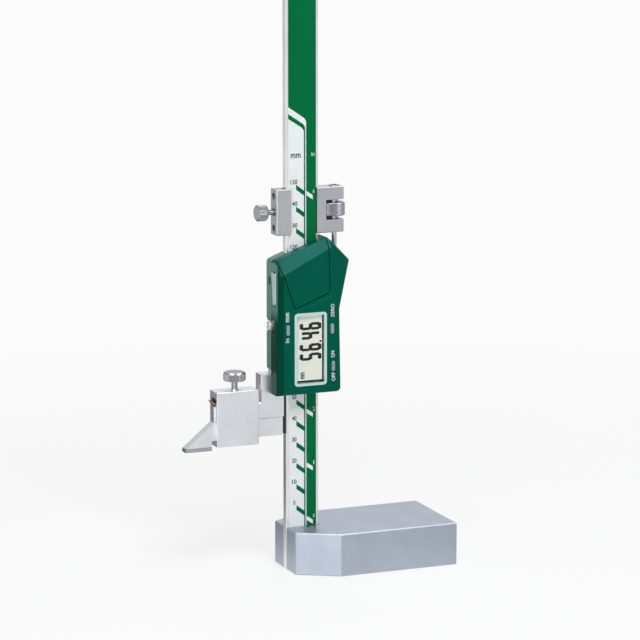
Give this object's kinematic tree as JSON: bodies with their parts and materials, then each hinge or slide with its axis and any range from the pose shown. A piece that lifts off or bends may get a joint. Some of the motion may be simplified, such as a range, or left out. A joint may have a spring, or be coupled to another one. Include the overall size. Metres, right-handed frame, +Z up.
{
  "type": "height gauge",
  "caption": "Digital height gauge with a scaled column on a heavy base, a sliding display unit, fine adjustment carriage and a clamped carbide scriber.",
  "frame": {"origin": "centre of the base's flat sole", "axes": "+X along the base, away from the scriber; +Y to the back; +Z up the column. The display faces -Y."},
  "size_m": [0.1263, 0.047, 0.28],
  "materials": {
    "base_steel": "ground, satin",
    "column_steel": "ground and polished edges",
    "jaw_steel": "satin",
    "carriage_steel": "satin",
    "label_film": "printed film",
    "board": "laminate",
    "casing_green": "moulded, glossy",
    "rear_casing_green": "moulded, satin",
    "bezel_silver": "satin",
    "lcd_glass": "reflective liquid crystal panel",
    "clear_window": "clear",
    "connector_rubber": "matt",
    "switch_metal": "stamped dome",
    "cell_steel": "drawn can",
    "contact_metal": "nickel plated spring strip",
    "button_grey": "moulded",
    "port_cover_grey": "moulded",
    "screw_steel": "turned",
    "screw_black": "black oxide",
    "pad_brass": "turned",
    "gib_bronze": "rolled strip",
    "knob_chrome": "knurled",
    "tip_carbide": "ground"
  },
  "bodies": {
    "stand": {"base": "base_steel", "column": "column_steel", "scale_strip": "board", "scale_label": "label_film", "column_screws": "screw_black", "stop_screw": "screw_black"},
    "slider": {"slider_frame": "jaw_steel", "slider_gib": "screw_black", "slider_gib_screws": "screw_steel", "rear_casing": "rear_casing_green", "front_casing": "casing_green", "casing_screws": "screw_steel", "circuit_board": "board", "lcd_panel": "lcd_glass", "lcd_window": "clear_window", "lcd_bezel": "bezel_silver", "lcd_connectors": "connector_rubber", "button_switches": "switch_metal", "battery_cell": "cell_steel", "battery_contacts": "contact_metal", "data_connector": "screw_black", "fine_screw": "screw_steel"},
    "battery_lid": {"battery_cover": "casing_green"},
    "port_plug": {"data_port_cover": "port_cover_grey"},
    "unit_button": {"button_unit": "button_grey"},
    "zero_button": {"button_zero": "button_grey"},
    "power_button": {"button_power": "button_grey"},
    "slider_lock_pad": {"lock_pad": "pad_brass"},
    "slider_lock_screw": {"lock_screw": "knob_chrome"},
    "fine_carriage": {"carriage": "carriage_steel", "carriage_gib": "gib_bronze", "carriage_gib_screws": "screw_black", "carriage_bush": "screw_steel"},
    "fine_wheel": {"fine_nut": "knob_chrome"},
    "carriage_lock_pad": {"carriage_pad": "pad_brass"},
    "carriage_lock_screw": {"carriage_clamp_screw": "knob_chrome"},
    "scriber_clamp": {"clamp_box": "jaw_steel"},
    "scriber_clamp_plate": {"clamp_plate": "gib_bronze"},
    "scriber_clamp_screw": {"clamp_screw": "knob_chrome"},
    "scriber_arm": {"scriber": "jaw_steel", "scriber_tip": "tip_carbide"}
  },
  "joints": [
    {"name": "slider_travel", "type": "slide", "parent": "stand", "child": "slider", "axis": [0, 0, 1], "range_m": [-0.0597, 0.0903]},
    {"name": "carriage_feed", "type": "slide", "parent": "slider", "child": "fine_carriage", "axis": [0, 0, 1], "range_m": [-0.00125, 0.004]},
    {"name": "fine_nut_turn", "type": "hinge", "parent": "fine_carriage", "child": "fine_wheel", "pos_m": [-0.0139, 0, 0.16795], "axis": [0, 0, 1], "range_deg": [-900, 2880]},
    {"name": "lock_pad_travel", "type": "slide", "parent": "slider", "child": "slider_lock_pad", "axis": [-1, 0, 0], "range_m": [0, 0.001]},
    {"name": "lock_screw_turn", "type": "hinge", "parent": "slider_lock_pad", "child": "slider_lock_screw", "pos_m": [-0.0462, 0, 0.1156], "axis": [-1, 0, 0], "range_deg": [0, 720]},
    {"name": "carriage_pad_travel", "type": "slide", "parent": "fine_carriage", "child": "carriage_lock_pad", "axis": [-1, 0, 0], "range_m": [0, 0.001]},
    {"name": "carriage_screw_turn", "type": "hinge", "parent": "carriage_lock_pad", "child": "carriage_lock_screw", "pos_m": [-0.0495, 0, 0.16795], "axis": [-1, 0, 0], "range_deg": [0, 720]},
    {"name": "clamp_box_travel", "type": "slide", "parent": "slider", "child": "scriber_clamp", "axis": [1, 0, 0], "range_m": [-0.0012, 0.0016]},
    {"name": "clamp_plate_travel", "type": "slide", "parent": "scriber_clamp", "child": "scriber_clamp_plate", "axis": [0, 0, 1], "range_m": [0, 0.001]},
    {"name": "clamp_screw_turn", "type": "hinge", "parent": "scriber_clamp_plate", "child": "scriber_clamp_screw", "pos_m": [-0.063, 0.00035, 0.0939], "axis": [0, 0, 1], "range_deg": [0, 720]},
    {"name": "scriber_travel", "type": "slide", "parent": "slider", "child": "scriber_arm", "axis": [1, 0, 0], "range_m": [-0.02, 0.0006]},
    {"name": "battery_cover_slide", "type": "slide", "parent": "slider", "child": "battery_lid", "axis": [-0.3234, 0, 0.9463], "range_m": [0, 0.026]},
    {"name": "port_cover_pull", "type": "slide", "parent": "slider", "child": "port_plug", "axis": [-1, 0, 0], "range_m": [0, 0.006]},
    {"name": "unit_button_press", "type": "slide", "parent": "slider", "child": "unit_button", "axis": [0, 1, 0], "range_m": [0, 0.0005], "stiffness_N_per_m": 1500, "springref_m": -0.0001},
    {"name": "zero_button_press", "type": "slide", "parent": "slider", "child": "zero_button", "axis": [0, 1, 0], "range_m": [0, 0.0005], "stiffness_N_per_m": 1500, "springref_m": -0.0001},
    {"name": "power_button_press", "type": "slide", "parent": "slider", "child": "power_button", "axis": [0, 1, 0], "range_m": [0, 0.0005], "stiffness_N_per_m": 1500, "springref_m": -0.0001}
  ],
  "couplings": [
    {"joint": "fine_nut_turn", "follows": "carriage_feed", "rad_per_m": 12566},
    {"joint": "lock_screw_turn", "follows": "lock_pad_travel", "rad_per_m": 12566},
    {"joint": "carriage_screw_turn", "follows": "carriage_pad_travel", "rad_per_m": 12566},
    {"joint": "clamp_screw_turn", "follows": "clamp_plate_travel", "rad_per_m": 12566}
  ]
}
